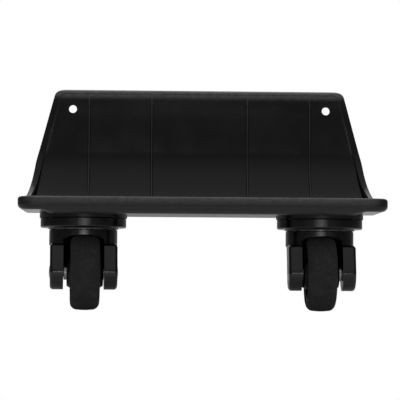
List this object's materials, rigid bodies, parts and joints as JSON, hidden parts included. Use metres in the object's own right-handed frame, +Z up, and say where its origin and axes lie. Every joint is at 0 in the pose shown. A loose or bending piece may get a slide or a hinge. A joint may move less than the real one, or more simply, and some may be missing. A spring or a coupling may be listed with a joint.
{
  "type": "two-wheel caster base",
  "caption": "L-shaped black plastic corner shell with swivel casters under its tray, fastened round the lower edge of a case so that it rolls.",
  "frame": {"origin": "on the top face of the tray floor, midway between the two swivel axes; the wheels' lowest points lie 66.5 mm below it", "axes": "+X to the right, -Y towards the open front of the shell, +Z up out of the tray floor"},
  "size_m": [0.244, 0.1086, 0.156],
  "materials": {
    "shell_plastic": "fine-grained moulded black plastic with polished edges",
    "housing_plastic": "smooth black nylon",
    "fork_plastic": "smooth black nylon",
    "core_plastic": "moulded dark plastic",
    "tread_rubber": "matt black rubber",
    "zinc_steel": "zinc-plated steel",
    "bearing_steel": "ground bearing steel",
    "cage_nylon": "natural nylon"
  },
  "bodies": {
    "base": {"base_shell": "shell_plastic", "left_swivel_housing": "housing_plastic", "left_housing_screw_1": "zinc_steel", "left_housing_screw_2": "zinc_steel", "left_housing_screw_3": "zinc_steel", "left_housing_screw_4": "zinc_steel", "left_kingpin": "zinc_steel", "left_kingpin_washer": "zinc_steel", "left_kingpin_nut": "zinc_steel", "left_upper_race": "bearing_steel", "right_swivel_housing": "housing_plastic", "right_housing_screw_1": "zinc_steel", "right_housing_screw_2": "zinc_steel", "right_housing_screw_3": "zinc_steel", "right_housing_screw_4": "zinc_steel", "right_kingpin": "zinc_steel", "right_kingpin_washer": "zinc_steel", "right_kingpin_nut": "zinc_steel", "right_upper_race": "bearing_steel"},
    "left_swivel": {"left_fork": "fork_plastic", "left_lower_race": "bearing_steel", "left_axle": "zinc_steel", "left_axle_nut": "zinc_steel", "left_axle_spacer_a": "zinc_steel", "left_axle_spacer_b": "zinc_steel", "left_bearing_inner_a": "bearing_steel", "left_bearing_inner_b": "bearing_steel"},
    "left_ball_cage": {"left_ball_ring": "cage_nylon"},
    "left_wheel": {"left_wheel_core": "core_plastic", "left_tyre": "tread_rubber", "left_bearing_outer_a": "bearing_steel", "left_bearing_outer_b": "bearing_steel"},
    "right_swivel": {"right_fork": "fork_plastic", "right_lower_race": "bearing_steel", "right_axle": "zinc_steel", "right_axle_nut": "zinc_steel", "right_axle_spacer_a": "zinc_steel", "right_axle_spacer_b": "zinc_steel", "right_bearing_inner_a": "bearing_steel", "right_bearing_inner_b": "bearing_steel"},
    "right_ball_cage": {"right_ball_ring": "cage_nylon"},
    "right_wheel": {"right_wheel_core": "core_plastic", "right_tyre": "tread_rubber", "right_bearing_outer_a": "bearing_steel", "right_bearing_outer_b": "bearing_steel"}
  },
  "joints": [
    {"name": "left_swivel_turn", "type": "hinge", "parent": "base", "child": "left_swivel", "pos_m": [-0.0797, 0, -0.0128], "axis": [0, 0, 1], "continuous": true},
    {"name": "left_ball_cage_turn", "type": "hinge", "parent": "base", "child": "left_ball_cage", "pos_m": [-0.0797, 0, -0.0102], "axis": [0, 0, 1], "continuous": true},
    {"name": "left_wheel_spin", "type": "hinge", "parent": "left_swivel", "child": "left_wheel", "pos_m": [-0.07881, -0.01598, -0.0415], "axis": [0.9984, 0.0558, 0], "continuous": true},
    {"name": "right_swivel_turn", "type": "hinge", "parent": "base", "child": "right_swivel", "pos_m": [0.0797, 0, -0.0128], "axis": [0, 0, 1], "continuous": true},
    {"name": "right_ball_cage_turn", "type": "hinge", "parent": "base", "child": "right_ball_cage", "pos_m": [0.0797, 0, -0.0102], "axis": [0, 0, 1], "continuous": true},
    {"name": "right_wheel_spin", "type": "hinge", "parent": "right_swivel", "child": "right_wheel", "pos_m": [0.07956, -0.016, -0.0415], "axis": [1, -0.0087, 0], "continuous": true}
  ],
  "couplings": [
    {"joint": "left_ball_cage_turn", "follows": "left_swivel_turn", "ratio": 0.5},
    {"joint": "right_ball_cage_turn", "follows": "right_swivel_turn", "ratio": 0.5}
  ]
}
